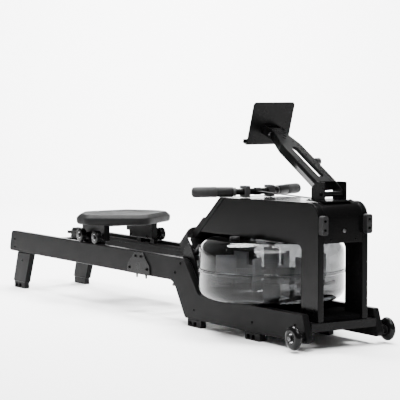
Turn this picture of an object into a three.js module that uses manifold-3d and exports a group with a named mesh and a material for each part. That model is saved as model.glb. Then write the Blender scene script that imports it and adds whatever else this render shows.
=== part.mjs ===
// Water-resistance rowing machine, millimetres, X forward, Y to the left, Z up.
// Pieces are laid out with X = 0 at the splice of the side boards and Z = 0 on the floor,
// then the whole part is moved along X so that its origin is under its middle.
import * as THREE from 'three';
import Module from 'manifold-3d';
import { mergeVertices } from 'three/addons/utils/BufferGeometryUtils.js';

const wasm = await Module();
wasm.setup();

// Side boards
const BOARD_OUT = 154;
const BOARD_IN = 130;
const RAIL_TOP = 234;
const RAIL_BOTTOM = 150;
const RAIL_REAR = -1073;
const SPLICE = 4;
const LEDGE_IN = 107;
const LEDGE_TOP = 222;
const LOW_TOP = 118;
const LOW_BOTTOM = 27;
const FRONT = 1033;
const GAP = 0.3;

// Housing
const PANEL_OUT = 99.5;
const PANEL_IN = 77;
const HOUSING_FRONT = 1011;
const HOUSING_TOP = 468;
const HOUSING_REAR_TOP = 455.5;
const CROSSBAR_TOP = 87.5;

// Tank
const TANK_X = 614;
const TANK_R = 247;
const TANK_BOTTOM = 120;
const TANK_SEAM = 219;
const TANK_TOP = 324.5;
const TANK_WALL = 5;
const TANK_ROUND = 50;
const TANK_BASE_ROUND = 40;

// Seat
const SEAT_X = -402;
const SEAT_BOTTOM = 305;
const SEAT_TOP = 347.5;
const ROLLER_R = 24.7;
const ROLLER_Z = 259;
const ROLLER_OFFSET = 60;
const CARRIAGE_OUT = 118;
const CARRIAGE_IN = 94;
const CARRIAGE_REAR = -502;
const CARRIAGE_FRONT = -325;
const FOOT_RECESS = 9;

// Foot rest, sloping up towards the front
const HEEL_X = 170;
const HEEL_Z = 128;
const FOOT_SLOPE = (42 * Math.PI) / 180;
const FOOT_LENGTH = 238;
const TOE_BOARD = [203, 211];
const TOE_BOARD_HEIGHT = 47;
const BLADE_ANGLES = [-53, 7, 67];
const FOOT_OUT = 122;
const FOOT_IN = 10;
const STRAP_START = 131;
const STRAP_WIDTH = 64;
const STRAP_RISE = 41;

// Handle
const BAR_X = 528;
const BAR_Z = 477;
const BAR_R = 11;
const GRIP_R = 18;
const BAR_HALF = 60;
const SWEEP = Math.atan2(69, 162);
const ARM_LENGTH = 176;

// Tablet holder
const ARM_ORIGIN = [945, 515.3];
const ARM_SLOPE = Math.atan2(0.5043, 0.8636);
const ARM_START = 28;
const ARM_HALF = 38;
const ARM_TIP_HALF = 22;
const ARM_DEPTH = 31;
const PIVOT = [950, 490];
const TILT = [641.7, 676.2];
const TABLET_FOOT = [583, 639];
const TABLET_LEAN = Math.atan2(46, 143);

// Transport wheels
const WHEEL_X = 1001;
const WHEEL_Z = 46.5;
const WHEEL_R = 39;
const WHEEL_IN = 176;
const WHEEL_OUT = 200;

const BLACK = { color: 0x17181a, roughness: 0.45, metalness: 0.3 };
const BOARD = { color: 0x1c1d1f, roughness: 0.5, metalness: 0.2 };
const RUBBER = { color: 0x0d0d0e, roughness: 0.85, metalness: 0 };
const FOAM = { color: 0x202123, roughness: 0.9, metalness: 0 };
const STEEL = { color: 0x9a9da1, roughness: 0.3, metalness: 1 };
const CLEAR = { color: 0xc9d2d8, roughness: 0.05, metalness: 0, opacity: 0.4, transparent: true };
const WEBBING = { color: 0x3a3b3d, roughness: 0.9, metalness: 0 };

const part = new THREE.Group();

function add(name, geometry, look) {
  const mesh = new THREE.Mesh(geometry, new THREE.MeshStandardMaterial(look));
  mesh.name = name;
  part.add(mesh);
}

function toManifold(geometry) {
  const plain = geometry.clone();
  plain.deleteAttribute('normal');
  plain.deleteAttribute('uv');
  const merged = mergeVertices(plain, 1e-4);
  const index = merged.index.array;
  const kept = [];
  for (let i = 0; i < index.length; i += 3) {
    const [a, b, c] = [index[i], index[i + 1], index[i + 2]];
    if (a !== b && b !== c && a !== c) {
      kept.push(a, b, c);
    }
  }
  return new wasm.Manifold(new wasm.Mesh({
    numProp: 3,
    vertProperties: new Float32Array(merged.attributes.position.array),
    triVerts: new Uint32Array(kept),
  }));
}

function toGeometry(solid) {
  const mesh = solid.getMesh();
  const geometry = new THREE.BufferGeometry();
  geometry.setAttribute('position', new THREE.BufferAttribute(mesh.vertProperties, 3));
  geometry.setIndex(new THREE.BufferAttribute(mesh.triVerts, 1));
  geometry.computeVertexNormals();
  return geometry;
}

function join(...pieces) {
  return toGeometry(pieces.map(toManifold).reduce((a, b) => a.add(b)));
}

function cut(geometry, ...tools) {
  return toGeometry(tools.map(toManifold).reduce((a, b) => a.subtract(b), toManifold(geometry)));
}

// Closed outline from corners [u, v, radius]
function outline(corners, steps = 4) {
  const points = [];
  const count = corners.length;
  corners.forEach(([u, v, radius = 0], i) => {
    const here = new THREE.Vector2(u, v);
    if (radius === 0) {
      points.push(here);
      return;
    }
    const before = corners[(i + count - 1) % count];
    const after = corners[(i + 1) % count];
    const toBefore = new THREE.Vector2(before[0], before[1]).sub(here).normalize();
    const toAfter = new THREE.Vector2(after[0], after[1]).sub(here).normalize();
    const half = Math.acos(toBefore.dot(toAfter)) / 2;
    const inward = toBefore.clone().add(toAfter).normalize();
    const centre = here.clone().addScaledVector(inward, radius / Math.sin(half));
    const reach = radius / Math.tan(half);
    const start = here.clone().addScaledVector(toBefore, reach).sub(centre);
    const end = here.clone().addScaledVector(toAfter, reach).sub(centre);
    let sweep = end.angle() - start.angle();
    if (sweep > Math.PI) {
      sweep -= 2 * Math.PI;
    }
    if (sweep < -Math.PI) {
      sweep += 2 * Math.PI;
    }
    for (let k = 0; k <= steps; k += 1) {
      const angle = start.angle() + (sweep * k) / steps;
      points.push(new THREE.Vector2(
        centre.x + radius * Math.cos(angle),
        centre.y + radius * Math.sin(angle),
      ));
    }
  });
  return points;
}

function extrude(corners, depth, bevel = 0, holes = [], steps = 4) {
  const shape = new THREE.Shape(outline(corners, steps));
  holes.forEach((hole) => shape.holes.push(new THREE.Path(outline(hole, steps))));
  const geometry = new THREE.ExtrudeGeometry(shape, {
    depth: depth - 2 * bevel,
    bevelEnabled: bevel > 0,
    bevelThickness: bevel,
    bevelSize: bevel,
    bevelOffset: -bevel,
    bevelSegments: 1,
    steps: 1,
  });
  geometry.translate(0, 0, bevel);
  return geometry;
}

// Outline in (X, Z), thickness along Y
function plateY(corners, y0, y1, bevel = 0, holes = [], steps = 4) {
  const geometry = extrude(corners, y1 - y0, bevel, holes, steps);
  geometry.rotateX(Math.PI / 2);
  geometry.translate(0, y1, 0);
  return geometry;
}

// Outline in (X, Y), thickness along Z
function plateZ(corners, z0, z1, bevel = 0, steps = 4) {
  const geometry = extrude(corners, z1 - z0, bevel, [], steps);
  geometry.translate(0, 0, z0);
  return geometry;
}

// Outline in the plane of two directions, thickness along their cross product
function plateAlong(corners, depth, first, second, origin, holes = [], steps = 4) {
  const geometry = extrude(corners, depth, 0, holes, steps);
  const third = first.clone().cross(second);
  geometry.applyMatrix4(new THREE.Matrix4().makeBasis(first, second, third));
  geometry.translate(origin[0], origin[1], origin[2]);
  return geometry;
}

function box(x0, x1, y0, y1, z0, z1) {
  const geometry = new THREE.BoxGeometry(x1 - x0, y1 - y0, z1 - z0);
  geometry.translate((x0 + x1) / 2, (y0 + y1) / 2, (z0 + z1) / 2);
  return geometry;
}

function rodY(x, z, radius, y0, y1, segments = 20) {
  const geometry = new THREE.CylinderGeometry(radius, radius, Math.abs(y1 - y0), segments);
  geometry.translate(x, (y0 + y1) / 2, z);
  return geometry;
}

function rodZ(x, y, radius, z0, z1, segments = 20) {
  const geometry = new THREE.CylinderGeometry(radius, radius, z1 - z0, segments);
  geometry.rotateX(Math.PI / 2);
  geometry.translate(x, y, (z0 + z1) / 2);
  return geometry;
}

function rodX(y, z, radius, x0, x1, segments = 12) {
  const geometry = new THREE.CylinderGeometry(radius, radius, x1 - x0, segments);
  geometry.rotateZ(Math.PI / 2);
  geometry.translate((x0 + x1) / 2, y, z);
  return geometry;
}

// Solid of revolution about Y from [radius, offset] points
function turnedY(profile, x, y, z, segments = 32) {
  const points = profile.map(([r, h]) => new THREE.Vector2(r, h));
  const geometry = new THREE.LatheGeometry(points, segments);
  geometry.translate(x, y, z);
  return geometry;
}

// Span between two distances on one side: side is -1 (right) or +1 (left)
function span(side, inner, outer) {
  return side < 0 ? [-outer, -inner] : [inner, outer];
}

function rearRail(side) {
  const corners = [
    [RAIL_REAR, RAIL_BOTTOM, 12],
    [RAIL_REAR + 23, RAIL_TOP, 14],
    [SPLICE - 1, RAIL_TOP],
    [SPLICE - 1, RAIL_BOTTOM],
  ];
  const board = plateY(corners, ...span(side, BOARD_IN, BOARD_OUT), 3);
  const ledge = box(-1045, SPLICE - 1, ...span(side, LEDGE_IN, BOARD_IN + 4), LEDGE_TOP - 12, LEDGE_TOP);
  return join(board, ledge);
}

function frontFrame(side) {
  const corners = [
    [SPLICE + 1, RAIL_TOP],
    [302, RAIL_TOP, 45],
    [394, 116, 24],
    [1001, LOW_TOP, 8],
    [FRONT, LOW_BOTTOM, 14],
    [306, LOW_BOTTOM, 12],
    [228, RAIL_BOTTOM + 1, 50],
    [SPLICE + 1, RAIL_BOTTOM],
  ];
  return plateY(corners, ...span(side, BOARD_IN, BOARD_OUT), 2, [], 5);
}

function junctionPlate(side) {
  const corners = [
    [-87, RAIL_BOTTOM + 1],
    [-82, 185, 8],
    [-28, 231, 8],
    [24, 231, 8],
    [73, 185, 8],
    [75, RAIL_BOTTOM + 1],
    [54, RAIL_BOTTOM + 1],
    [52, 138, 3],
    [45, 138, 3],
    [43, RAIL_BOTTOM + 1],
    [-11, RAIL_BOTTOM + 1],
    [-13, 138, 3],
    [-20, 138, 3],
    [-22, RAIL_BOTTOM + 1],
  ];
  const plate = plateY(corners, ...span(side, BOARD_OUT + GAP, BOARD_OUT + 4), 0, [], 2);
  const heads = [[-25, 216], [13, 216.6], [-68, 171], [55, 173]].map(([x, z]) => (
    rodY(x, z, 5.5, ...span(side, BOARD_OUT + 3, BOARD_OUT + 7), 8)
  ));
  return join(plate, ...heads);
}

function rearLeg(side) {
  const corners = [[-994.6, 149.7], [-877, 149.7], [-926, 26.3], [-1036, 26.3]];
  return plateY(corners, ...span(side, BOARD_IN, BOARD_OUT), 2);
}

// Rubber foot block with two blind arched recesses in its outer face, centred on x
function footBlock(side, x, half) {
  const top = LOW_BOTTOM - 1;
  const inner = BOARD_IN + 1;
  const outer = BOARD_OUT - 2;
  const outline = [[x - half, 0, 3], [x + half, 0, 3], [x + half, top], [x - half, top]];
  const block = plateY(outline, ...span(side, inner, outer));
  const recesses = [x - half * 0.54, x + half * 0.14].map((middle) => {
    const wide = half * 0.25;
    const arch = [[middle - wide, 4], [middle + wide, 4], [middle + wide, 20, 9], [middle - wide, 20, 9]];
    return plateY(arch, ...span(side, outer - FOOT_RECESS, outer + 5));
  });
  return cut(block, ...recesses);
}

function tray() {
  const wide = BOARD_IN - GAP;
  const corners = [
    [395, -wide], [912, -wide], [912, -76], [1005, -76],
    [1005, 76], [912, 76], [912, wide], [395, wide],
  ];
  const pan = plateZ(corners, CROSSBAR_TOP + 0.5, 104);
  const seat = [
    [TANK_X - 165, -wide, 50], [TANK_X + 165, -wide, 50],
    [TANK_X + 165, wide, 50], [TANK_X - 165, wide, 50],
  ];
  return join(pan, plateZ(seat, 103, TANK_BOTTOM - GAP));
}

function sidePanel(side) {
  const corners = [
    [476, HOUSING_REAR_TOP],
    [HOUSING_FRONT, HOUSING_TOP, 52],
    [HOUSING_FRONT, CROSSBAR_TOP + 0.8],
    [918, CROSSBAR_TOP + 0.8],
    [918, 328, 20],
    [323.5, 328],
  ];
  return plateY(corners, ...span(side, PANEL_IN, PANEL_OUT), 1.5, [], 6);
}

function topCover() {
  const thick = 12;
  const corners = [
    [477, HOUSING_REAR_TOP],
    [HOUSING_FRONT, HOUSING_TOP, 52],
    [HOUSING_FRONT, 338],
    [HOUSING_FRONT - thick, 338],
    [HOUSING_FRONT - thick, HOUSING_TOP - thick, 40],
    [477, HOUSING_REAR_TOP - thick],
  ];
  const sheet = plateY(corners, -PANEL_IN + GAP, PANEL_IN - GAP, 0, [], 6);
  const bolt = rodX(0, 377, 7, HOUSING_FRONT - 4, HOUSING_FRONT + 4);
  const screws = [-50, 50].map((y) => rodX(y, 350, 3.5, HOUSING_FRONT - 4, HOUSING_FRONT + 2, 8));
  return join(sheet, bolt, ...screws);
}

function rearCover() {
  const corners = [
    [444, HOUSING_REAR_TOP],
    [351, 378],
    [338.4, 379.5, 3],
    [268, 320.5, 3],
    [287.5, 299, 3],
    [474.7, HOUSING_REAR_TOP],
  ];
  return plateY(corners, -PANEL_OUT, PANEL_OUT, 1.5, [], 2);
}

function bumper(side) {
  const [y0, y1] = span(side, PANEL_IN, PANEL_OUT);
  const middle = (y0 + y1) / 2;
  const corners = [[y0, 366, 8], [y1, 366, 8], [y1, 428, 8], [y0, 428, 8]];
  const across = new THREE.Vector3(0, 1, 0);
  const up = new THREE.Vector3(0, 0, 1);
  const block = plateAlong(corners, 22, across, up, [HOUSING_FRONT + GAP, 0, 0], [], 4);
  const holes = [383, 411].map((z) => rodX(middle, z, 5.5, HOUSING_FRONT + 9, HOUSING_FRONT + 40));
  return cut(block, ...holes);
}

// Rounded rim as [radius, height] points, from the flat end to the wall
function rim(radius, flat, turn, round, steps = 5) {
  const points = [];
  for (let k = 0; k <= steps; k += 1) {
    const angle = (Math.PI / 2) * (1 - k / steps);
    points.push([
      radius - round + round * Math.cos(angle),
      flat - turn * (round - round * Math.sin(angle)),
    ]);
  }
  return points;
}

function tankShell(flat, seam, hole) {
  const turn = Math.sign(flat - seam);
  const inner = TANK_R - TANK_WALL;
  const innerFlat = flat - turn * TANK_WALL;
  const round = turn > 0 ? TANK_ROUND : TANK_BASE_ROUND;
  const outside = rim(TANK_R, flat, turn, round);
  const inside = rim(inner, innerFlat, turn, round - TANK_WALL).reverse();
  const profile = [
    [hole, flat],
    ...outside,
    [TANK_R, seam + turn * 6],
    [TANK_R + 4.5, seam + turn * 6],
    [TANK_R + 4.5, seam + turn * GAP],
    [inner, seam + turn * GAP],
    ...inside,
    [hole, innerFlat],
  ];
  if (hole > 0) {
    profile.push([hole, flat]);
  }
  if (turn > 0) {
    profile.reverse();
  }
  const geometry = turnedY(profile, 0, 0, 0, 56);
  geometry.rotateX(Math.PI / 2);
  geometry.translate(TANK_X, 0, 0);
  return geometry;
}

function impeller() {
  const hub = rodZ(TANK_X, 0, 26, 130, 300);
  const shaft = rodZ(TANK_X, 0, 10, 290, 356, 16);
  const pulley = rodZ(TANK_X, 0, 60, 336, 352, 28);
  const blades = BLADE_ANGLES.map((degrees) => {
    const arm = box(-188, 188, -4, 4, 196, 222);
    const paddles = [-1, 1].map((end) => box(...span(end, 122, 190), -5, 5, 164, 268));
    const blade = join(arm, ...paddles);
    blade.rotateZ((degrees * Math.PI) / 180);
    blade.translate(TANK_X, 0, 0);
    return blade;
  });
  return join(hub, shaft, pulley, ...blades);
}

function reel() {
  const drum = rodY(850, 395, 40, -14, 14, 28);
  const cheeks = [-1, 1].map((side) => rodY(850, 395, 50, ...span(side, 13, 18), 28));
  const axle = rodY(850, 395, 8, -PANEL_IN + 0.6, PANEL_IN - 0.6, 14);
  return join(drum, ...cheeks, axle);
}

// Point on the foot rest: s up the slope, n away from its face
function onFootRest(s, n) {
  return [
    HEEL_X + s * Math.cos(FOOT_SLOPE) - n * Math.sin(FOOT_SLOPE),
    HEEL_Z + s * Math.sin(FOOT_SLOPE) + n * Math.cos(FOOT_SLOPE),
  ];
}

function slopedBlock(s0, s1, n0, n1, y0, y1) {
  const corners = [[s0, n0], [s1, n0], [s1, n1], [s0, n1]].map(([s, n]) => onFootRest(s, n));
  return plateY(corners, y0, y1);
}

function footRestFrame() {
  const cheek = [
    [198, 128, 6], [198, 160, 6], [258, 234], [262, 262, 6], [288, 286, 6],
    [302, 284, 6], [338, 228], [350, 180], [352, 128, 6],
  ];
  const cheeks = [-1, 1].map((side) => plateY(cheek, ...span(side, 124, BOARD_IN - GAP), 0, [], 2));
  const tubes = [40, 180].map((s) => {
    const [x, z] = onFootRest(s, -18.6);
    return rodY(x, z, 10, -125, 125, 16);
  });
  return join(...cheeks, ...tubes);
}

function footPlate(side) {
  return slopedBlock(0, FOOT_LENGTH, -8, 0, ...span(side, FOOT_IN, FOOT_OUT));
}

// Upright board across the upper end of both foot plates, closing the gap under the rear cover
function toeBoard() {
  return slopedBlock(...TOE_BOARD, GAP, TOE_BOARD_HEIGHT, -FOOT_OUT, FOOT_OUT);
}

function heelCup(side) {
  const [y0, y1] = span(side, 22, 110);
  return join(
    slopedBlock(12, 96, GAP, 5, y0, y1),
    slopedBlock(12, 17, GAP, 44, y0, y1),
    slopedBlock(12, 78, GAP, 34, y0, y0 + 5),
    slopedBlock(12, 78, GAP, 34, y1 - 5, y1),
  );
}

// Foot strap arch standing on the plate
function footStrap(side) {
  const middle = (side * (FOOT_IN + FOOT_OUT)) / 2;
  const half = 55;
  const line = (inset) => {
    const points = [[middle - half + inset, GAP]];
    for (let k = 0; k <= 12; k += 1) {
      const turn = Math.PI * (1 - k / 12);
      points.push([middle + (half - inset) * Math.cos(turn), 66 + (STRAP_RISE - inset) * Math.sin(turn)]);
    }
    points.push([middle + half - inset, GAP]);
    return points;
  };
  const arch = [...line(0), ...line(3).reverse()];
  const across = new THREE.Vector3(0, 1, 0);
  const away = new THREE.Vector3(-Math.sin(FOOT_SLOPE), 0, Math.cos(FOOT_SLOPE));
  const [x, z] = onFootRest(STRAP_START, 0);
  return plateAlong(arch, STRAP_WIDTH, across, away, [x, 0, z]);
}

function handleBar() {
  const middle = rodY(BAR_X, BAR_Z, BAR_R, -BAR_HALF, BAR_HALF, 16);
  const pieces = [-1, 1].flatMap((side) => {
    const rod = new THREE.CylinderGeometry(BAR_R, BAR_R, ARM_LENGTH - 18, 16);
    rod.translate(0, (ARM_LENGTH - 18) / 2, 0);
    rod.rotateZ(side > 0 ? SWEEP : Math.PI - SWEEP);
    rod.translate(BAR_X, side * BAR_HALF, BAR_Z);
    const knee = new THREE.SphereGeometry(BAR_R, 16, 10);
    knee.rotateX(Math.PI / 2);
    knee.translate(BAR_X, side * BAR_HALF, BAR_Z);
    return [rod, knee];
  });
  return join(middle, ...pieces);
}

function grip(side) {
  const start = 34;
  const end = ARM_LENGTH;
  const profile = [
    [0, end - 14],
    [BAR_R + GAP, end - 14],
    [BAR_R + GAP, start],
    [GRIP_R - 1.5, start],
    [GRIP_R, start + 2],
    [GRIP_R, end - 10],
    [GRIP_R - 3, end - 3],
    [GRIP_R - 8, end],
    [0, end],
  ];
  const sleeve = turnedY(profile, 0, 0, 0, 24);
  sleeve.rotateZ(side > 0 ? SWEEP : Math.PI - SWEEP);
  sleeve.translate(BAR_X, side * BAR_HALF, BAR_Z);
  return sleeve;
}

function handleHolder(side) {
  const corners = [
    [511, 457.7],
    [546, 457.7, 4],
    [546, 496, 6],
    [511, 496, 4],
    [511, 488.8],
    [540.5, 488.8, 10],
    [540.5, 465.2, 10],
    [511, 465.2],
  ];
  return plateY(corners, ...span(side, 40, 60), 0, [], 3);
}

function strap() {
  const corners = [[540, 478], [884, 471.5], [884, 469.5], [540, 476]];
  return plateY(corners, -10, 10);
}

function tabletBase() {
  const cheek = [[898, 470], [898, 508, 4], [922, 529.5, 4], [968, 529.5, 3], [968, 470]];
  const cheeks = [-1, 1].map((side) => plateY(cheek, ...span(side, 41, 45), 0, [], 2));
  const flange = box(888, 985, -58, 58, 467.3, 471.5);
  const pin = rodY(PIVOT[0], PIVOT[1], 6, -49, 49, 16);
  return join(flange, pin, ...cheeks);
}

function tabletArm() {
  const along = new THREE.Vector3(-Math.cos(ARM_SLOPE), 0, Math.sin(ARM_SLOPE));
  const across = new THREE.Vector3(0, 1, 0);
  const below = along.clone().cross(across);
  const origin = [ARM_ORIGIN[0], 0, ARM_ORIGIN[1]];
  const lowered = (depth) => [
    origin[0] + below.x * depth,
    0,
    origin[2] + below.z * depth,
  ];
  const outer = [
    [ARM_START, -ARM_HALF], [256, -ARM_HALF, 30], [326, -ARM_TIP_HALF, 10], [357, -ARM_TIP_HALF],
    [357, ARM_TIP_HALF], [326, ARM_TIP_HALF, 10], [256, ARM_HALF, 30], [ARM_START, ARM_HALF],
  ];
  const pocket = [
    [-40, -ARM_HALF + 4], [254, -ARM_HALF + 4, 30], [324, -ARM_TIP_HALF + 4, 10],
    [370, -ARM_TIP_HALF + 4], [370, ARM_TIP_HALF - 4], [324, ARM_TIP_HALF - 4, 10],
    [254, ARM_HALF - 4, 30], [-40, ARM_HALF - 4],
  ];
  const slot = [[56, -12, 11.5], [238, -12, 11.5], [238, 12, 11.5], [56, 12, 11.5]];
  const solid = plateAlong(outer, ARM_DEPTH, along, across, origin, [], 3);
  const hollow = plateAlong(pocket, ARM_DEPTH, along, across, lowered(4.5), [], 3);
  const opening = plateAlong(slot, 20, along, across, lowered(-5), [], 4);
  const pivotHole = rodY(PIVOT[0], PIVOT[1], 6.5, -60, 60, 16);
  const lug = [
    [920.8, 529.4],
    [958, 501, 10],
    [960, 481, 10],
    [939, 478, 8],
    [877.6, 518.8],
    [893.2, 545.6],
  ];
  const lugs = [-1, 1].map((side) => plateY(lug, ...span(side, ARM_HALF - 4, ARM_HALF - 0.01)));
  const tube = rodY(PIVOT[0], PIVOT[1], 9, -ARM_HALF + 2, ARM_HALF - 2, 20);
  const endPlate = box(911, 915, -ARM_HALF + 2, ARM_HALF - 2, 500, 530);
  const tiltHole = rodY(TILT[0], TILT[1], 5.5, -60, 60, 16);
  return cut(join(cut(solid, hollow, opening), tube, endPlate, ...lugs), pivotHole, tiltHole);
}

function armKnob() {
  const knob = rodY(801, 588, 12, ARM_HALF + 5, ARM_HALF + 22, 10);
  const neck = rodY(801, 588, 6, ARM_HALF + 0.4, ARM_HALF + 6, 12);
  return join(knob, neck);
}

// Tablet frame: u up the plate, n out of its back
const TABLET_UP = new THREE.Vector3(Math.sin(TABLET_LEAN), 0, Math.cos(TABLET_LEAN));
const TABLET_ACROSS = new THREE.Vector3(0, 1, 0);
const TABLET_BACK = TABLET_ACROSS.clone().cross(TABLET_UP);

function tabletBlock(corners, n0, n1) {
  const origin = [
    TABLET_FOOT[0] + TABLET_BACK.x * n0,
    0,
    TABLET_FOOT[1] + TABLET_BACK.z * n0,
  ];
  return plateAlong(corners, n1 - n0, TABLET_ACROSS, TABLET_UP, origin);
}

function rectangle(y0, y1, u0, u1, radius = 0) {
  return [[y0, u0], [y1, u0], [y1, u1, radius], [y0, u1, radius]];
}

function tabletPlate() {
  return join(
    tabletBlock(rectangle(-84, 84, 0, 150, 11), 0, 3),
    tabletBlock(rectangle(-84, 84, 0, 3), -22, 1),
    tabletBlock(rectangle(-84, 84, 0, 13), -22, -19),
  );
}

function tiltBracket() {
  const ears = [-1, 1].map((side) => (
    tabletBlock(rectangle(...span(side, 23, 27), 38, 70), 3.3, 54)
  ));
  const back = tabletBlock(rectangle(-27, 27, 38, 70, 0), 3.3, 7);
  const pin = rodY(TILT[0], TILT[1], 5, -30, 30, 14);
  return join(back, pin, ...ears);
}

function seatCarriage() {
  const block = [
    [CARRIAGE_REAR, 241, 3],
    [CARRIAGE_FRONT, 241, 3],
    [CARRIAGE_FRONT, 304.5],
    [CARRIAGE_REAR, 304.5],
  ];
  const plates = [-1, 1].map((side) => plateY(block, ...span(side, CARRIAGE_IN, CARRIAGE_OUT), 1, [], 1));
  const tabs = [-1, 1].map((side) => (
    box(CARRIAGE_REAR - 48, CARRIAGE_REAR + 4, ...span(side, 110, CARRIAGE_OUT - 1), 261, 282)
  ));
  const deck = box(CARRIAGE_REAR + 4, CARRIAGE_FRONT - 4, -CARRIAGE_OUT + 2, CARRIAGE_OUT - 2, 298, 304.2);
  const pads = [];
  const axles = [];
  [-1, 1].forEach((side) => {
    [-1, 1].forEach((end) => {
      const padX = SEAT_X + end * 52;
      const rollerX = SEAT_X + end * ROLLER_OFFSET;
      pads.push(box(padX - 15, padX + 15, ...span(side, 110, 126), LEDGE_TOP + 0.6, 242));
      axles.push(rodY(rollerX, ROLLER_Z, 6, ...span(side, CARRIAGE_OUT - 3, 155), 14));
      axles.push(rodY(rollerX, ROLLER_Z, 9, ...span(side, 154.4, 157.5), 14));
      axles.push(rodY(rollerX, ROLLER_Z, 10, ...span(side, CARRIAGE_OUT - 1, 130), 14));
    });
  });
  return join(deck, ...plates, ...tabs, ...pads, ...axles);
}

// Seat outline: a wide octagon drawn out to a blunt point at the front
const SEAT_OUTLINE = [
  [-535, -100, 18], [-418, -190, 20], [-340, -190, 20], [-222, -20, 16],
  [-222, 20, 16], [-340, 190, 20], [-418, 190, 20], [-535, 100, 18],
];

function seatPad() {
  return plateZ(SEAT_OUTLINE, SEAT_BOTTOM, SEAT_TOP, 10, 3);
}

function ring(bore, radius, half, chamfer) {
  return [
    [bore, -half],
    [radius - chamfer, -half],
    [radius, -half + chamfer],
    [radius, half - chamfer],
    [radius - chamfer, half],
    [bore, half],
    [bore, -half],
  ];
}

function seatRoller(side, end) {
  return turnedY(ring(6.5, ROLLER_R, 11.6, 2), SEAT_X + end * ROLLER_OFFSET, side * 142.2, ROLLER_Z, 28);
}

function transportWheel(side) {
  const middle = (side * (WHEEL_IN + WHEEL_OUT)) / 2;
  return turnedY(ring(7.5, WHEEL_R, 12, 5), WHEEL_X, middle, WHEEL_Z, 32);
}

function wheelAxle(side) {
  return join(
    rodY(WHEEL_X, WHEEL_Z, 15, ...span(side, BOARD_OUT + GAP, WHEEL_IN - 0.5)),
    rodY(WHEEL_X, WHEEL_Z, 7, ...span(side, BOARD_OUT + 1, WHEEL_OUT + 2), 16),
    rodY(WHEEL_X, WHEEL_Z, 11, ...span(side, WHEEL_OUT + 0.5, WHEEL_OUT + 5), 16),
  );
}

const WIDE = BOARD_IN - GAP;
add('rear_crossmember', box(-985, -935, -WIDE, WIDE, 160, 200), BLACK);
add('middle_crossmember', box(-75, -25, -WIDE, WIDE, 160, 200), BLACK);
add('tank_crossbar', box(410, 460, -WIDE, WIDE, 45, CROSSBAR_TOP), BLACK);
add('front_crossbar', box(968, 1018, -WIDE, WIDE, 61, CROSSBAR_TOP), BLACK);
add('tank_tray', tray(), BLACK);
add('footrest_frame', footRestFrame(), BLACK);
add('toe_board', toeBoard(), BOARD);
add('top_cover', topCover(), BLACK);
add('rear_cover', rearCover(), BOARD);
add('tank_upper_shell', tankShell(TANK_TOP, TANK_SEAM, 14), CLEAR);
add('tank_lower_shell', tankShell(TANK_BOTTOM, TANK_SEAM, 0), CLEAR);
add('impeller', impeller(), STEEL);
add('strap_reel', reel(), BLACK);
add('handle_bar', handleBar(), BLACK);
add('pull_strap', strap(), WEBBING);
add('tablet_base', tabletBase(), BLACK);
add('tablet_arm', tabletArm(), BLACK);
add('tablet_arm_knob', armKnob(), RUBBER);
add('tablet_tilt_bracket', tiltBracket(), BLACK);
add('tablet_plate', tabletPlate(), BLACK);
add('seat_carriage', seatCarriage(), BLACK);
add('seat_pad', seatPad(), FOAM);

[['right', -1], ['left', 1]].forEach(([name, side]) => {
  add(`${name}_rear_rail`, rearRail(side), BOARD);
  add(`${name}_front_frame`, frontFrame(side), BOARD);
  add(`${name}_junction_plate`, junctionPlate(side), BLACK);
  add(`${name}_rear_leg`, rearLeg(side), BOARD);
  add(`${name}_rear_foot`, footBlock(side, -981, 46), RUBBER);
  add(`${name}_middle_foot`, footBlock(side, 365, 43), RUBBER);
  add(`${name}_front_foot`, footBlock(side, 721, 42), RUBBER);
  add(`${name}_side_panel`, sidePanel(side), BLACK);
  add(`${name}_bumper`, bumper(side), RUBBER);
  add(`${name}_foot_plate`, footPlate(side), BLACK);
  add(`${name}_heel_cup`, heelCup(side), BLACK);
  add(`${name}_foot_strap`, footStrap(side), WEBBING);
  add(`${name}_grip`, grip(side), FOAM);
  add(`${name}_handle_holder`, handleHolder(side), BLACK);
  add(`${name}_transport_wheel`, transportWheel(side), RUBBER);
  add(`${name}_wheel_axle`, wheelAxle(side), STEEL);
  add(`${name}_front_roller`, seatRoller(side, 1), RUBBER);
  add(`${name}_rear_roller`, seatRoller(side, -1), RUBBER);
});

// Origin under the middle of the overall length, on the floor
const bounds = new THREE.Box3().setFromObject(part);
const shift = -(bounds.min.x + bounds.max.x) / 2;
part.children.forEach((mesh) => mesh.geometry.translate(shift, 0, 0));

export default part;
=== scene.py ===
"""Looks of the water rowing machine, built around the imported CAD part. All sizes are in metres."""
import math

import bmesh
import bpy
import numpy as np
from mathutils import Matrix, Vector


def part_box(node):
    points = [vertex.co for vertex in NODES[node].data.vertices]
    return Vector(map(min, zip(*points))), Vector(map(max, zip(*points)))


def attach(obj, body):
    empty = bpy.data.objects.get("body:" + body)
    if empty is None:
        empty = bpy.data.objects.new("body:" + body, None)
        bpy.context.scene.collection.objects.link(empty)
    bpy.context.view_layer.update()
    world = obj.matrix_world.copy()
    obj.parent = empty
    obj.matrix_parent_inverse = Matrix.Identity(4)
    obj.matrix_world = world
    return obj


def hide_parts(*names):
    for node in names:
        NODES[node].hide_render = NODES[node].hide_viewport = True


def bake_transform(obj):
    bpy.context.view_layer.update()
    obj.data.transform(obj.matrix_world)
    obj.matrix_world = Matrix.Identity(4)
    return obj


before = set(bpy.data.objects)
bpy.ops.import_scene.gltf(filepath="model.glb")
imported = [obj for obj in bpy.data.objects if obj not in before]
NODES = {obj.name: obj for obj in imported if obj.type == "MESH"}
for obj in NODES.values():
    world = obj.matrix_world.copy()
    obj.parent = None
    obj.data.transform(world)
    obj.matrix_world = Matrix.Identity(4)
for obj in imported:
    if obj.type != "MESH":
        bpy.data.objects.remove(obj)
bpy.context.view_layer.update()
# The part's X origin is its middle; layout numbers below are counted from the board splice.
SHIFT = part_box("front_crossbar")[1].x - 1.018
SIDES = (("right", -1), ("left", 1))


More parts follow.
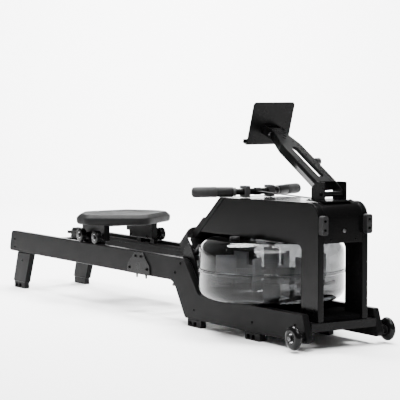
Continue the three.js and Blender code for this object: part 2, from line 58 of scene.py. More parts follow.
def at(x, y, z):
    """A layout point in millimetres as a place in the row frame in metres."""
    return Vector((x / 1000 + SHIFT, y / 1000, z / 1000))


def shader(name):
    material = bpy.data.materials.new("look_" + name)
    material.use_nodes = True
    tree = material.node_tree
    return material, tree, tree.nodes["Principled BSDF"]


def noise(tree, scale, detail=3.0, roughness=0.55):
    coordinates = tree.nodes.new("ShaderNodeTexCoord")
    texture = tree.nodes.new("ShaderNodeTexNoise")
    texture.inputs["Scale"].default_value = scale
    texture.inputs["Detail"].default_value = detail
    texture.inputs["Roughness"].default_value = roughness
    tree.links.new(coordinates.outputs["Object"], texture.inputs["Vector"])
    return texture.outputs["Fac"]


def ramp(tree, source, low, high, start=0.35, end=0.65):
    node = tree.nodes.new("ShaderNodeMapRange")
    node.inputs["From Min"].default_value = start
    node.inputs["From Max"].default_value = end
    node.inputs["To Min"].default_value = low
    node.inputs["To Max"].default_value = high
    tree.links.new(source, node.inputs["Value"])
    return node.outputs["Result"]


def tint(tree, source, dark, light):
    node = tree.nodes.new("ShaderNodeValToRGB")
    node.color_ramp.elements[0].position = 0.3
    node.color_ramp.elements[1].position = 0.7
    node.color_ramp.elements[0].color = (*dark, 1)
    node.color_ramp.elements[1].color = (*light, 1)
    tree.links.new(source, node.inputs["Fac"])
    return node.outputs["Color"]


def bump(tree, principled, source, strength, distance):
    node = tree.nodes.new("ShaderNodeBump")
    node.inputs["Strength"].default_value = strength
    node.inputs["Distance"].default_value = distance
    tree.links.new(source, node.inputs["Height"])
    previous = principled.inputs["Normal"].links
    if previous:
        tree.links.new(previous[0].from_socket, node.inputs["Normal"])
    tree.links.new(node.outputs["Normal"], principled.inputs["Normal"])


def coated(name, tone, rough, grain=900, relief=0.00006, shine=0.25, metallic=0.0, mottle=9):
    """A finish with broad mottling, uneven gloss and a fine surface grain."""
    material, tree, principled = shader(name)
    broad = noise(tree, mottle, 4)
    tree.links.new(tint(tree, broad, grey(tone[0]), grey(tone[1])), principled.inputs["Base Color"])
    gloss = noise(tree, 23, 5, 0.65)
    tree.links.new(ramp(tree, gloss, rough[0], rough[1]), principled.inputs["Roughness"])
    bump(tree, principled, noise(tree, grain, 2), 0.4, relief)
    principled.inputs["Metallic"].default_value = metallic
    principled.inputs["Specular IOR Level"].default_value = shine
    return material


def grey(value):
    return (value, value, value * 1.03)


BOARD = coated("matt_board", (0.0022, 0.0034), (0.34, 0.42), 1100, 0.00002, 0.03)
FRAME = coated("black_frame", (0.0015, 0.0022), (0.26, 0.32), 1300, 0.00001, 0.06)
PANEL = coated("black_panel", (0.0012, 0.0018), (0.16, 0.22), 1500, 0.00001, 0.05, mottle=4)
RUBBER = coated("rubber", (0.0025, 0.004), (0.5, 0.65), 700, 0.00006, 0.1)
BUMPER = coated("bumper_rubber", (0.006, 0.009), (0.5, 0.65), 700, 0.00004, 0.12)
TYRE = coated("wheel_tyre", (0.0012, 0.0025), (0.12, 0.2), 500, 0.00002, 0.1)
PLASTIC = coated("black_plastic", (0.005, 0.008), (0.35, 0.5), 1600, 0.00008, 0.3)
CLIP = coated("grey_clip", (0.022, 0.034), (0.35, 0.5), 1400, 0.00006, 0.3)
GRIP = coated("grip_foam", (0.005, 0.008), (0.65, 0.85), 900, 0.0003, 0.25)
SLEEVE = coated("grip_sleeve", (0.004, 0.006), (0.36, 0.46), 1500, 0.00003, 0.08)
SEAT = coated("seat_foam", (0.0035, 0.0055), (0.5, 0.6), 620, 0.00008, 0.1)
STEEL = coated("steel", (0.05, 0.09), (0.2, 0.38), 400, 0.00003, 0.5, 1.0)
BOLT = coated("black_bolt", (0.0008, 0.0016), (0.3, 0.42), 500, 0.00002, 0.03)
TRAY = coated("tray_black", (0.0015, 0.0025), (0.6, 0.75), 900, 0.00003, 0.0)
BRIGHT = coated("bright_ring", (0.22, 0.35), (0.15, 0.28), 300, 0.00002, 0.5, 1.0)
PADDLE = coated("impeller_plastic", (0.6, 0.75), (0.3, 0.45), 350, 0.00006, 0.5)


def webbing():
    """Black woven tape: two crossed fine waves over a dull black."""
    material, tree, principled = shader("webbing")
    broad = noise(tree, 30, 4)
    tree.links.new(tint(tree, broad, grey(0.003), grey(0.007)), principled.inputs["Base Color"])
    coordinates = tree.nodes.new("ShaderNodeTexCoord")
    for direction, scale in (("X", 90), ("Y", 110)):
        wave = tree.nodes.new("ShaderNodeTexWave")
        wave.bands_direction = direction
        wave.inputs["Scale"].default_value = scale
        wave.inputs["Distortion"].default_value = 0.6
        tree.links.new(coordinates.outputs["Object"], wave.inputs["Vector"])
        bump(tree, principled, wave.outputs["Fac"], 0.5, 0.00025)
    principled.inputs["Specular IOR Level"].default_value = 0.12
    tree.links.new(ramp(tree, noise(tree, 60), 0.65, 0.85), principled.inputs["Roughness"])
    return material


def clear(name, tone, ior, rough, droplets=0.0):
    """A see-through finish tinted from the dark to the light tone as painted shade that darkens what shows
    through it, with wet relief if droplets is given.
    """
    material, tree, principled = shader(name)
    principled.inputs["Transmission Weight"].default_value = 1.0
    principled.inputs["IOR"].default_value = ior
    tree.links.new(tint(tree, noise(tree, 6, 3), *tone), principled.inputs["Base Color"])
    tree.links.new(ramp(tree, noise(tree, 14, 4), rough[0], rough[1]), principled.inputs["Roughness"])
    bump(tree, principled, noise(tree, 4, 1), 0.02, 0.0004)
    if droplets:
        coordinates = tree.nodes.new("ShaderNodeTexCoord")
        cells = tree.nodes.new("ShaderNodeTexVoronoi")
        cells.inputs["Scale"].default_value = 210
        tree.links.new(coordinates.outputs["Object"], cells.inputs["Vector"])
        drops = ramp(tree, cells.outputs["Distance"], 1.0, 0.0, 0.02, 0.22)
        patches = ramp(tree, noise(tree, 22, 3), 0.0, 1.0, 0.55, 0.7)
        wet = tree.nodes.new("ShaderNodeMath")
        wet.operation = "MULTIPLY"
        tree.links.new(drops, wet.inputs[0])
        tree.links.new(patches, wet.inputs[1])
        bump(tree, principled, wet.outputs[0], droplets, 0.0012)
    return material


WEBBING = webbing()
# The grey tints of the tank shells and the water are painted shade: they darken the see-through in place of
# the dark surroundings seen through the tank, and the lower shell is tinted darker than the upper.
SHADED_CLEAR = clear(
    "clear_tank", ((0.22, 0.223, 0.226), (0.3, 0.303, 0.306)), 1.25, (0.0, 0.003), droplets=0.07,
)
SHADED_CLEAR_LOWER = clear("clear_lower_painted_shade", ((0.18, 0.183, 0.186), (0.25, 0.253, 0.256)), 1.25, (0.0, 0.004))
SHADED_WATER = clear("tank_water", ((0.4, 0.403, 0.406), (0.6, 0.603, 0.606)), 1.14, (0.0, 0.01))


# ---------------------------------------------------------------- mesh helpers
def piece(name, vertices, faces, material, body, slot=None, smooth=True, angle=35):
    mesh = bpy.data.meshes.new(name)
    mesh.from_pydata([tuple(v) for v in vertices], [], faces)
    mesh.validate()
    work = bmesh.new()
    work.from_mesh(mesh)
    bmesh.ops.remove_doubles(work, verts=work.verts, dist=1e-6)
    bmesh.ops.recalc_face_normals(work, faces=work.faces)
    work.to_mesh(mesh)
    work.free()
    if smooth:
        mesh.shade_smooth()
        mesh.set_sharp_from_angle(angle=math.radians(angle))
    mesh.materials.append(material)
    thing = bpy.data.objects.new(name, mesh)
    bpy.context.scene.collection.objects.link(thing)
    if body:
        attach(thing, body)
    return thing


def turned(profile, origin, axis, segments=64):
    """Vertices and faces of a solid of revolution from (radius, height) pairs, closed on itself."""
    axis = Vector(axis).normalized()
    helper = Vector((1, 0, 0)) if abs(axis.x) < 0.9 else Vector((0, 1, 0))
    u = axis.cross(helper).normalized()
    v = axis.cross(u)
    vertices = []
    for radius, height in profile:
        for k in range(segments):
            turn = 2 * math.pi * k / segments
            offset = (u * math.cos(turn) + v * math.sin(turn)) * radius / 1000
            vertices.append(origin + offset + axis * height / 1000)
    faces = []
    count = len(profile)
    closed = profile[0] == profile[-1]
    for i in range(count - 1):
        for k in range(segments):
            a = i * segments + k
            b = i * segments + (k + 1) % segments
            faces.append((a, b, b + segments, a + segments))
    if not closed:
        faces.append(tuple(range(segments)))
        faces.append(tuple(range((count - 1) * segments, count * segments)))
    return vertices, faces


def merge(parts):
    vertices, faces = [], []
    for some_vertices, some_faces in parts:
        start = len(vertices)
        vertices += list(some_vertices)
        faces += [tuple(i + start for i in face) for face in some_faces]
    return vertices, faces


def prism_y(points, y0, y1):
    """Outline in layout (X, Z) millimetres, thickness along Y."""
    count = len(points)
    vertices = [at(x, y0, z) for x, z in points] + [at(x, y1, z) for x, z in points]
    faces = [tuple(range(count)), tuple(range(count, 2 * count))]
    faces += [(i, (i + 1) % count, count + (i + 1) % count, count + i) for i in range(count)]
    return vertices, faces


def socket_head(centre, axis, radius, height):
    """A button-head screw with a round socket recess."""
    axis = Vector(axis).normalized()
    dome = [
        (radius * 0.45, height * 0.35),
        (radius * 0.45, height * 0.98),
        (radius * 0.55, height),
        (radius * 0.8, height * 0.86),
        (radius * 0.96, height * 0.5),
        (radius, 0.0),
    ]
    return turned(dome, centre, axis, 24)


def smooth_rounding(node, width=0.0012, segments=2):
    """Softens the edges of a CAD node for the render, leaving its own vertices alone."""
    mesh = node.data
    custom = mesh.attributes.get("custom_normal")
    if custom:
        mesh.attributes.remove(custom)
    mesh.shade_smooth()
    weld = node.modifiers.new("weld", "WELD")
    weld.merge_threshold = 0.00002
    bevel = node.modifiers.new("edges", "BEVEL")
    bevel.width = width
    bevel.segments = segments
    bevel.limit_method = "ANGLE"
    bevel.angle_limit = math.radians(38)
    bevel.use_clamp_overlap = True
    node.modifiers.new("normals", "WEIGHTED_NORMAL")


def finish_of(name):
    if "side_panel" in name or name == "top_cover":
        return PANEL
    if "bumper" in name:
        return BUMPER
    if name in ("tank_upper_shell", "tank_lower_shell"):
        return SHADED_CLEAR
    if name == "impeller":
        return PADDLE
    if name == "tank_tray":
        return TRAY
    if any(word in name for word in ("rail", "front_frame", "rear_leg", "rear_cover", "toe_board")):
        return BOARD
    if any(word in name for word in ("rear_foot", "middle_foot", "front_foot")):
        return RUBBER
    if any(word in name for word in ("roller", "transport_wheel")):
        return TYRE
    if any(word in name for word in ("heel_cup", "foot_plate", "knob", "reel")):
        return PLASTIC
    if "handle_holder" in name:
        return CLIP
    if "axle" in name:
        return FRAME
    if "strap" in name:
        return WEBBING
    return FRAME


for name, node in NODES.items():
    node.data.materials.clear()
    node.data.materials.append(finish_of(name))
    wide = 0.0022 if "rail" in name or "front_frame" in name else 0.0012
    smooth_rounding(node, 0.0006 if "tablet" in name or "knob" in name else wide)


# ---------------------------------------------------------------- seat
SEAT_CENTRE = -402
ROLLER_SPACING = 60
ROLLER_Z = 259
SEAT_MIDDLE = np.array((-380.0, 0.0))
SEAT_FLOOR = 305.0
SEAT_CORNERS = [
    (-535, -100), (-418, -190), (-340, -190), (-222, -20),
    (-222, 20), (-340, 190), (-418, 190), (-535, 100),
]
SEAT_POINTS = 128


def offset_polygon(corners, inset):
    """Corners of the convex outline with every edge moved inwards by inset."""
    moved = []
    count = len(corners)
    for i in range(count):
        before, here, after = (np.array(corners[(i + k) % count], float) for k in (-1, 0, 1))
        first = (here - before) / np.linalg.norm(here - before)
        second = (after - here) / np.linalg.norm(after - here)
        normals = [np.array((-d[1], d[0])) for d in (first, second)]
        middle = (normals[0] + normals[1]) / (1 + normals[0] @ normals[1])
        moved.append(here + middle * inset)
    return moved


def seat_ring(inset, rounding):
    """Evenly placed points round the outline, corners cut to the given rounding."""
    corners = offset_polygon(SEAT_CORNERS, inset)
    line = []
    count = len(corners)
    for i in range(count):
        before, here, after = (corners[(i + k) % count] for k in (-1, 0, 1))
        start = here + (before - here) * min(0.45, rounding / np.linalg.norm(before - here))
        end = here + (after - here) * min(0.45, rounding / np.linalg.norm(after - here))
        for k in range(9):
            t = k / 8
            line.append((1 - t) ** 2 * start + 2 * t * (1 - t) * here + t * t * end)
    line = np.array(line)
    angles = np.unwrap(np.arctan2(line[:, 1] - SEAT_MIDDLE[1], line[:, 0] - SEAT_MIDDLE[0]))
    order = np.argsort(angles)
    angles, line = angles[order], line[order]
    wanted = np.linspace(angles[0], angles[0] + 2 * math.pi, SEAT_POINTS, endpoint=False)
    angles = np.append(angles, angles[0] + 2 * math.pi)
    line = np.vstack([line, line[:1]])
    return np.stack([np.interp(wanted, angles, line[:, k]) for k in (0, 1)], 1), wanted


def seat_mesh():
    rings = [
        (90, 0), (16, 0), (6, 1.5), (1.5, 6), (0, 13), (0, 22), (0.6, 27.5), (3, 30.2),
        (12.5, 39.3), (15, 40.6), (19, 41.0), (32, 40.2), (46, 38.6), (70, 37.6), (100, 37.2),
        (128, 37.0),
    ]
    vertices, faces = [], []
    for inset, height in rings:
        if inset <= 46:
            ring_points = seat_ring(inset, 12 + inset * 0.4)[0]
        else:
            inner = seat_ring(46, 30)[0]
            ring_points = SEAT_MIDDLE + (inner - SEAT_MIDDLE) * (1 - (inset - 46) / 90)
        for x, y in ring_points:
            lift = 0.0
            if inset >= 19:
                lift = -2.6 * math.exp(-(((x - SEAT_MIDDLE[0]) / 90) ** 2 + ((abs(y) - 75) / 60) ** 2))
            vertices.append(at(x, y, SEAT_FLOOR + height + lift))
    count = SEAT_POINTS
    for i in range(len(rings) - 1):
        for k in range(count):
            a, b = i * count + k, i * count + (k + 1) % count
            faces.append((a, b, b + count, a + count))
    faces.append(tuple(range(count)))
    faces.append(tuple(range((len(rings) - 1) * count, len(rings) * count)))
    return vertices, faces


seat = piece("seat_cushion", *seat_mesh(), SEAT, "seat", "seat_foam", angle=28)
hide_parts("seat_pad")


# ---------------------------------------------------------------- rollers and wheels
def tyre_profile(bore, radius, half, grooves):
    """Tyre section with rounded shoulders and shallow grooves round the tread."""
    points = [(bore, -half), (bore + 2, -half), (radius - 5, -half + 0.6)]
    for degrees in (70, 45, 20):
        turn = math.radians(degrees)
        points.append((radius - 3 + 3 * math.cos(turn), -half + 3.6 - 3 * math.sin(turn)))
    if grooves:
        width = 2 * (half - 4) / grooves
        for k in range(grooves):
            left = -half + 4 + k * width
            points += [
                (radius, left + 0.1 * width), (radius, left + 0.6 * width),
                (radius - 0.9, left + 0.7 * width), (radius - 0.9, left + 0.95 * width),
            ]
    for degrees in (20, 45, 70):
        turn = math.radians(degrees)
        points.append((radius - 3 + 3 * math.cos(turn), half - 3.6 + 3 * math.sin(turn)))
    points += [(radius - 5, half - 0.6), (bore + 2, half), (bore, half), (bore, -half)]
    return points


def washer(origin, axis, inner, outer, start, end):
    profile = [(inner, start), (outer, start), (outer, end), (inner, end), (inner, start)]
    return turned(profile, origin, axis, 40)


WHEEL_X = 1001
WHEEL_Y = 188
WHEEL_Z = 46.5

for side_name, side in SIDES:
    for end_name, end in (("front", 1), ("rear", -1)):
        body = f"{side_name}_{end_name}_seat_wheel"
        node = f"{side_name}_{end_name}_roller"
        hub = at(SEAT_CENTRE + end * ROLLER_SPACING, side * 142.2, ROLLER_Z)
        tyre = piece(f"{node}_tyre", *turned(tyre_profile(13, 24.6, 11.6, 4), hub, (0, 1, 0), 72), TYRE, body)
        core = [(6.6, -10.5), (12.9, -10.5), (12.9, 10.5), (6.6, 10.5), (6.6, -10.5)]
        piece(f"{node}_core", *turned(core, hub, (0, 1, 0), 48), PLASTIC, body)
        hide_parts(node)
        ring = washer(hub, (0, side, 0), 8.5, 12.2, 10.5, 11.5)
        piece(f"{node}_bearing", *ring, BRIGHT, body, "steel")
    wheel = f"{side_name}_transport_wheel"
    hub = at(WHEEL_X, side * WHEEL_Y, WHEEL_Z)
    skate = [(17, -9), (19, -11.6), (24, -12), (30, -11), (34.5, -8), (37.6, -4.2), (38.9, 0)]
    skate += [(r, -h) for r, h in reversed(skate[:-1])] + [(17, -9)]
    tyre = piece(f"{wheel}_tyre", *turned(skate, hub, (0, side, 0), 96), TYRE, f"{side_name}_wheel")
    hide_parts(wheel)
    body_of_hub = [
        (7.6, -10.5), (11, -10.5), (12, -8), (16.9, -8), (16.9, 8),
        (12, 8), (11, 10.5), (7.6, 10.5), (7.6, -10.5),
    ]
    piece(f"{wheel}_hub", *turned(body_of_hub, hub, (0, side, 0), 64), PLASTIC, f"{side_name}_wheel")
    ring = washer(hub, (0, side, 0), 11.4, 14.6, 7.9, 9.6)
    piece(f"{wheel}_bearing", *ring, BRIGHT, f"{side_name}_wheel", "steel")

    axle_parts = [
        washer(at(WHEEL_X, 0, WHEEL_Z), (0, side, 0), 8.2, 11.4, 200.2, 201.4),
        socket_head(at(WHEEL_X, side * 204.8, WHEEL_Z), (0, side, 0), 8.2, 2.2),
    ]
    piece(f"{wheel}_bolt", *merge(axle_parts), STEEL, "frame", "steel")


# ---------------------------------------------------------------- tank
TANK_X = 614
TANK = at(TANK_X, 0, 0)
TANK_RADIUS = 247
TANK_WALL = 4
TANK_SEAM = 219
TANK_TOP = 324.3
TANK_BOTTOM = 120.0
TANK_ROUND = 50
TANK_BASE_ROUND = 40
SEAM_GAP = 0.4
WATER_LEVEL = 196.0
WATER_GAP = 0.4


def rounded_rim(radius, flat, turn, rounding, steps=14):
    """Quarter circle from the flat end out to the wall. turn is 1 for a top and -1 for a bottom."""
    points = []
    for k in range(steps + 1):
        angle = math.pi / 2 * (1 - k / steps)
        points.append((
            radius - rounding + rounding * math.cos(angle),
            flat - turn * (rounding - rounding * math.sin(angle)),
        ))
    return points


def shell_profile(flat, hole):
    """Section of one half of the tank: outer wall, seam flange, inner wall, back to the centre hole."""
    turn = 1 if flat > TANK_SEAM else -1
    rounding = TANK_ROUND if turn > 0 else TANK_BASE_ROUND
    bore = TANK_RADIUS - TANK_WALL
    inner_flat = flat - turn * TANK_WALL
    profile = [(hole, flat)] + rounded_rim(TANK_RADIUS, flat, turn, rounding)
    for out, away in ((0, 7), (1.5, 5), (4.4, 4.4), (4.4, SEAM_GAP)):
        profile.append((TANK_RADIUS + out, TANK_SEAM + turn * away))
    profile.append((bore, TANK_SEAM + turn * SEAM_GAP))
    profile += rounded_rim(bore, inner_flat, turn, rounding - TANK_WALL)[::-1]
    return profile + [(hole, inner_flat), (hole, flat)]


upper_shape = turned(shell_profile(TANK_TOP, 13), TANK, (0, 0, 1), 160)
upper = piece("tank_upper_clear", *upper_shape, SHADED_CLEAR, "frame", "clear_tank")
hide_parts("tank_upper_shell")
lower_shape = turned(shell_profile(TANK_BOTTOM, 6), TANK, (0, 0, 1), 160)
lower = piece("tank_lower_clear", *lower_shape, SHADED_CLEAR_LOWER, "frame", "clear_tank")
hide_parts("tank_lower_shell")
seal_profile = [(243.2, 218.7), (250.4, 218.7), (250.4, 219.3), (243.2, 219.3), (243.2, 218.7)]
piece("tank_seal", *turned(seal_profile, TANK, (0, 0, 1), 128), RUBBER, "frame", "rubber")
water_radius = TANK_RADIUS - TANK_WALL - WATER_GAP
water_floor = TANK_BOTTOM + TANK_WALL + WATER_GAP
water_round = TANK_BASE_ROUND - TANK_WALL - WATER_GAP
water_profile = [(0.5, water_floor)] + rounded_rim(water_radius, water_floor, -1, water_round)
water_profile += [(water_radius, WATER_LEVEL - 1), (water_radius - 1, WATER_LEVEL - 0.1), (0.5, WATER_LEVEL)]
piece("tank_water", *turned(water_profile, TANK, (0, 0, 1), 128), SHADED_WATER, "frame", "clear_tank")
cap = [(0.3, 0.1), (15, 0.1), (17, 2), (17, 9), (15.5, 11), (0.3, 11)]
cap_solid = turned(cap, at(TANK_X, -150, TANK_TOP + 0.2), (0, 0, 1), 40)
piece("fill_cap", *cap_solid, PLASTIC, "frame", "black_plastic")


# ---------------------------------------------------------------- handle
SWEEP = math.atan2(69, 162)
BAR_X = 528
BAR_Z = 477
for side_name, side in SIDES:
    axis = Vector((-math.sin(SWEEP), side * math.cos(SWEEP), 0))
    base = at(BAR_X, side * 60, BAR_Z)
    foam_part = [
        (11.2, 91.4), (17.4, 91.4), (18, 92.4), (17.9, 110), (18, 140), (17.9, 164), (17.1, 169),
        (15.2, 172.6), (11, 175), (6, 176), (0.4, 176.2), (0.4, 162.5), (11.2, 162.5), (11.2, 91.4),
    ]
    foam = piece(f"{side_name}_foam_grip", *turned(foam_part, base, axis, 56), GRIP, "handle", "grip_foam")
    smooth_part = [
        (11.2, 34), (15.4, 33.8), (16.6, 35), (17.1, 38), (17.2, 60), (17.1, 88),
        (16.7, 90.8), (11.2, 90.9), (11.2, 34),
    ]
    piece(f"{side_name}_grip_sleeve", *turned(smooth_part, base, axis, 56), SLEEVE, "handle", "grip_foam")
    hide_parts(f"{side_name}_grip")
    collar = [(11.1, 24), (14.4, 24), (15, 25), (15, 32.4), (14.4, 33.4), (11.1, 33.4), (11.1, 24)]
    piece(f"{side_name}_grip_collar", *turned(collar, base, axis, 40), PLASTIC, "handle", "black_plastic")
    ribs = []
    for k in range(5):
        y = side * (41.2 + 4.2 * k)
        outline = [
            (509.6, 458.2), (547.4, 458.2), (547.4, 494.4), (544.5, 497.6), (513, 497.6), (509.6, 495.5),
            (509.6, 487.6), (536, 487.6), (539.6, 484.5), (539.6, 469.5), (536, 466.4), (509.6, 466.4),
        ]
        ribs.append(prism_y(outline, y, y + side * 1.7))
    piece(f"{side_name}_holder_ribs", *merge(ribs), CLIP, "frame", "black_plastic", angle=20)


def band(path, half_width, thickness, across, normal_hint):
    """A flat strap following a path of points, as a closed solid."""
    vertices, faces = [], []
    count = len(path)
    for i, point in enumerate(path):
        ahead = path[min(i + 1, count - 1)] - path[max(i - 1, 0)]
        normal = ahead.cross(across).normalized()
        if normal.dot(normal_hint) < 0:
            normal = -normal
        for a, b in ((-1, 0), (1, 0), (1, 1), (-1, 1)):
            vertices.append(point + across * half_width * a + normal * thickness * b)
    for i in range(count - 1):
        for k in range(4):
            a, b = i * 4 + k, i * 4 + (k + 1) % 4
            faces.append((a, b, b + 4, a + 4))
    faces.append((0, 1, 2, 3))
    faces.append(tuple(range(4 * count - 4, 4 * count)))
    return vertices, faces


PULL_START = (541, 476.6)
PULL_END = (884, 470.2)
PULL_STEPS = 59
PULL_SAG = 1.0
path = []
for k in range(PULL_STEPS + 1):
    t = k / PULL_STEPS
    x = PULL_START[0] + t * (PULL_END[0] - PULL_START[0])
    z = PULL_START[1] + t * (PULL_END[1] - PULL_START[1])
    path.append(at(x, 0, z - PULL_SAG * math.sin(math.pi * t)))
vertices, faces = band(path, 0.010, 0.0018, Vector((0, 1, 0)), Vector((0, 0, 1)))
pull = piece("pull_band", vertices, faces, WEBBING, None, "webbing")
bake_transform(pull)
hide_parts("pull_strap")
loop = [(11.3, -11), (13.0, -11), (13.0, 11), (11.3, 11), (11.3, -11)]
piece("pull_loop", *turned(loop, at(BAR_X, 0, BAR_Z), (0, 1, 0), 48), WEBBING, "handle", "webbing")


# ---------------------------------------------------------------- foot rests
SLOPE = math.radians(42)
HEEL_X = 170
HEEL_Z = 128
FOOT_MIDDLE = 66
STRAP_MIDDLE = 163
STRAP_HALF_WIDTH = 0.0318
STRAP_THICKNESS = 0.0024
# Across and through the strap's section, as shares of the half width and the thickness
STRAP_SECTION = ((-1, 0), (-0.5, 0), (0, 0), (0.5, 0), (1, 0), (1, 1), (0.5, 1), (0, 1), (-0.5, 1), (-1, 1))
TREAD_START = 154
TREAD_PITCH = 9


def on_foot_rest(s, n, y):
    """A place s up the foot rest's slope and n off its face."""
    x = HEEL_X + s * math.cos(SLOPE) - n * math.sin(SLOPE)
    z = HEEL_Z + s * math.sin(SLOPE) + n * math.cos(SLOPE)
    return at(x, y, z)


UP_SLOPE = Vector((math.cos(SLOPE), 0, math.sin(SLOPE)))
BLOCK_FACES = [(0, 1, 2, 3), (4, 5, 6, 7), (0, 1, 5, 4), (1, 2, 6, 5), (2, 3, 7, 6), (3, 0, 4, 7)]


for side_name, side in SIDES:
    middle = side * FOOT_MIDDLE
    crown = [(55 * math.cos(a), 66 + 41 * math.sin(a)) for a in np.linspace(math.pi, 0, 40)]
    arch = [(-55, 0.4), (-55.6, 22), (-55.8, 44)] + crown + [(55.8, 44), (55.6, 22), (55, 0.4)]
    line = [on_foot_rest(STRAP_MIDDLE, n, middle + y) for y, n in arch]
    centre = on_foot_rest(STRAP_MIDDLE, 40, middle)
    vertices, faces = [], []
    count = len(line)
    for i, point in enumerate(line):
        ahead = line[min(i + 1, count - 1)] - line[max(i - 1, 0)]
        normal = ahead.cross(UP_SLOPE).normalized()
        if normal.dot(point - centre) < 0:
            normal = -normal
        ripple = 0.0006 * math.sin(i * 0.9 + side)
        for a, b in STRAP_SECTION:
            bow = ripple * (1 - abs(a))
            depth = STRAP_THICKNESS * (1 - b) - bow
            vertices.append(point + UP_SLOPE * STRAP_HALF_WIDTH * a - normal * depth)
    around = len(STRAP_SECTION)
    for i in range(count - 1):
        for k in range(around):
            a, b = i * around + k, i * around + (k + 1) % around
            faces.append((a, b, b + around, a + around))
    faces.append(tuple(range(around)))
    faces.append(tuple(range(around * (count - 1), around * count)))
    strap = piece(f"{side_name}_toe_strap", vertices, faces, WEBBING, "frame", "webbing", angle=50)
    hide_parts(f"{side_name}_foot_strap")
    treads = []
    for k in range(5):
        s = TREAD_START + k * TREAD_PITCH
        low, high = sorted((side * 18, side * 114))
        section = ((s, 0.05), (s + 5, 0.05), (s + 4.4, 1.5), (s + 0.6, 1.5))
        corners = [on_foot_rest(a, n, y) for y in (low, high) for a, n in section]
        treads.append((corners, BLOCK_FACES))
    piece(f"{side_name}_foot_treads", *merge(treads), RUBBER, "frame", "rubber", angle=20)


# ---------------------------------------------------------------- screws
BOARD_FACE = 154.0
SPLICE_FACE = 161.0
PANEL_FACE = 99.5
frame_screws = []
for _, side in SIDES:
    for x, z, radius in (
        (-1019, 167, 4.2), (-1019, 200, 4.2), (-954, 116.5, 5), (277, 215, 6), (241, 179, 6),
        (365, 60, 4.5), (721, 60, 4.5), (960, 80, 5),
    ):
        frame_screws.append(socket_head(at(x, side * BOARD_FACE, z), (0, side, 0), radius, 2.6))
    for x, z in ((-25, 216), (13, 216.6), (-68, 171), (55, 173)):
        frame_screws.append(socket_head(at(x, side * SPLICE_FACE, z), (0, side, 0), 4.6, 1.6))
    for x in (894, 979):
        frame_screws.append(socket_head(at(x, side * 51, 471.5), (0, 0, 1), 4.5, 2.6))
    for x in (935, 984):
        frame_screws.append(socket_head(at(x, side * PANEL_FACE, 124), (0, side, 0), 5.5, 5))
    frame_screws.append(socket_head(at(1011, side * 50, 350), (1, 0, 0), 3.6, 2.6))
piece("frame_screws", *merge(frame_screws), BOLT, "frame", "steel")
piece("cover_bolt", *socket_head(at(1015, 0, 377), (1, 0, 0), 6.4, 2.6), STEEL, "frame", "steel")
pivot_ends = [socket_head(at(950, side * 49, 490), (0, side, 0), 5.6, 1.6) for _, side in SIDES]
piece("pivot_caps", *merge(pivot_ends), BOLT, "frame", "steel")
tilt_ends = [socket_head(at(641.7, side * 30, 676.2), (0, side, 0), 5.6, 2.4) for _, side in SIDES]
piece("tilt_caps", *merge(tilt_ends), STEEL, "tablet", "steel")
seat_ends = []
for _, side in SIDES:
    for end in (-1, 1):
        spot = at(SEAT_CENTRE + end * ROLLER_SPACING, side * 157.5, ROLLER_Z)
        seat_ends.append(socket_head(spot, (0, side, 0), 7.2, 2.0))
piece("seat_axle_caps", *merge(seat_ends), STEEL, "seat", "steel")


# ---------------------------------------------------------------- stage, light and camera
AZIMUTH = math.radians(57.2825)
PITCH = math.radians(3.9565)
VIEW = Vector((-math.sin(AZIMUTH), math.cos(AZIMUTH), 0))
RIGHT = Vector((math.cos(AZIMUTH), math.sin(AZIMUTH), 0))


FLOOR_NEAR = -9.0
FLOOR_FAR = 5.6
WALL_HEIGHT = 1.65
STAGE_HALF_WIDTH = 24
CURVE_STEPS = 12


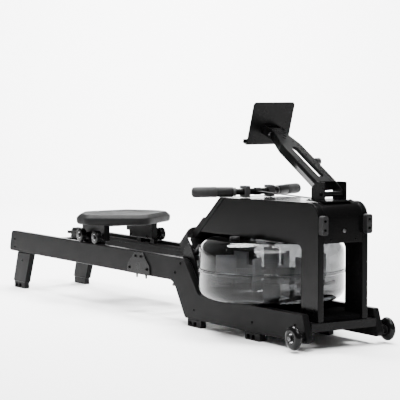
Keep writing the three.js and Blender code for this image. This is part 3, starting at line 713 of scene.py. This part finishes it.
def backdrop():
    """A pale floor that curves up into a low wall behind the object."""
    profile = [(FLOOR_NEAR, 0.0), (FLOOR_FAR, 0.0)]
    for k in range(1, CURVE_STEPS + 1):
        angle = math.pi / 2 * k / CURVE_STEPS
        depth = FLOOR_FAR + WALL_HEIGHT * math.sin(angle)
        profile.append((depth, WALL_HEIGHT - WALL_HEIGHT * math.cos(angle)))
    vertices, faces = [], []
    for depth, height in profile:
        for across in (-STAGE_HALF_WIDTH, STAGE_HALF_WIDTH):
            vertices.append(VIEW * depth + RIGHT * across + Vector((0, 0, height)))
    for i in range(len(profile) - 1):
        faces.append((2 * i, 2 * i + 1, 2 * i + 3, 2 * i + 2))
    mesh = bpy.data.meshes.new("backdrop")
    mesh.from_pydata([tuple(v) for v in vertices], [], faces)
    mesh.shade_smooth()
    thing = bpy.data.objects.new("backdrop", mesh)
    bpy.context.scene.collection.objects.link(thing)
    material, tree, principled = shader("studio_white")
    principled.inputs["Base Color"].default_value = (0.9, 0.9, 0.9, 1)
    principled.inputs["Roughness"].default_value = 0.75
    principled.inputs["Specular IOR Level"].default_value = 0.1
    mesh.materials.append(material)


backdrop()
world = bpy.data.worlds.new("studio")
world.use_nodes = True
world.node_tree.nodes["Background"].inputs["Color"].default_value = (1, 1, 1, 1)
world.node_tree.nodes["Background"].inputs["Strength"].default_value = 0.34
bpy.context.scene.world = world


def area_light(name, place, target, size, power):
    data = bpy.data.lights.new(name, "AREA")
    data.shape = "ELLIPSE"
    data.size, data.size_y = size
    data.energy = power
    light = bpy.data.objects.new(name, data)
    light.location = place
    light.rotation_euler = (Vector(target) - Vector(place)).to_track_quat("-Z", "Y").to_euler()
    bpy.context.scene.collection.objects.link(light)


area_light("rear_lamp", (-1.0, -0.5, 3.2), (-0.8, -0.3, 0), (1.5, 1.5), 300)
area_light("middle_lamp", (0.8, 0.8, 3.4), (0.6, 0.4, 0), (1.5, 1.5), 330)
area_light("back_lamp", (-2.2, 1.6, 3.4), (-2.4, 1.4, 0), (2.5, 2.5), 420)
area_light("wall_soft_box", (-3.6, 2.3, 4.6), (-6.2, 4.0, 1.6), (5.0, 2.0), 1700)
area_light("floor_soft_box", (2.6, -1.6, 3.4), (1.4, -0.9, 0), (3.0, 2.0), 330)

camera_data = bpy.data.cameras.new("camera")
camera_data.lens = 150.07
camera_data.sensor_width = 36
camera_data.clip_end = 100
camera = bpy.data.objects.new("camera", camera_data)
camera.location = (5.208 + SHIFT, -3.239, 0.840)
camera.rotation_euler = (math.pi / 2 - PITCH, 0, AZIMUTH)
bpy.context.scene.collection.objects.link(camera)
bpy.context.scene.camera = camera
